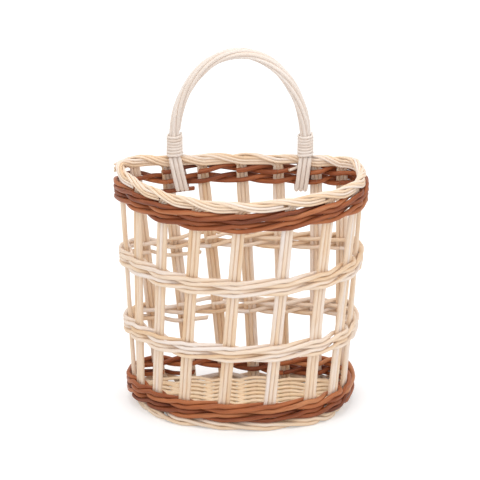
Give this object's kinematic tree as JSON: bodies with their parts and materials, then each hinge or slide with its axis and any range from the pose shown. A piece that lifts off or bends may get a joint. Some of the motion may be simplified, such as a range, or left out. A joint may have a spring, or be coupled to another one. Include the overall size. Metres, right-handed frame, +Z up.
{
  "type": "wall hanging planter",
  "caption": "Openwork wicker wall basket for a plant: half-round plan with a flattened back, woven bands over groups of upright rods, rolled rim and an arched handle at the back.",
  "frame": {"origin": "on the ground under the middle of the planter's bounding box", "axes": "+Z up from the foot to the handle's crown, +Y towards the wall that the flat back hangs against, -Y towards the rounded front, +X to the right of someone facing the front"},
  "size_m": [0.2306, 0.1292, 0.3347],
  "materials": {
    "natural_rod": "peeled natural willow rods, pale cream to tan, matt with a fine lengthwise grain",
    "brown_rod": "reddish-brown stained rods with a soft sheen",
    "handle_rod": "paler whitish peeled rods, matt, slightly pink"
  },
  "bodies": {
    "root": {"base_stick_1": "natural_rod", "base_stick_2": "natural_rod", "base_stick_3": "natural_rod", "base_stick_4": "natural_rod", "base_stick_5": "natural_rod", "base_stick_6": "natural_rod", "base_weaver": "natural_rod", "foot_border_a": "natural_rod", "foot_border_b": "natural_rod", "foot_border_c": "natural_rod", "foot_wale_a": "brown_rod", "foot_wale_b": "brown_rod", "foot_wale_c": "brown_rod", "handle_binding_left": "handle_rod", "handle_binding_right": "handle_rod", "handle_rod_a": "handle_rod", "handle_rod_b": "handle_rod", "handle_rod_c": "handle_rod", "lower_band_a": "natural_rod", "lower_band_b": "natural_rod", "lower_band_c": "natural_rod", "rim_wale_a": "brown_rod", "rim_wale_b": "brown_rod", "rim_wale_c": "brown_rod", "stake_01": "natural_rod", "stake_02": "natural_rod", "stake_03": "natural_rod", "stake_04": "natural_rod", "stake_05": "natural_rod", "stake_06": "natural_rod", "stake_07": "natural_rod", "stake_08": "natural_rod", "stake_09": "natural_rod", "stake_10": "natural_rod", "stake_11": "natural_rod", "stake_12": "natural_rod", "stake_13": "natural_rod", "stake_14": "natural_rod", "stake_15": "natural_rod", "stake_16": "natural_rod", "upper_band_a": "natural_rod", "upper_band_b": "natural_rod", "upper_band_c": "natural_rod"}
  },
  "joints": []
}
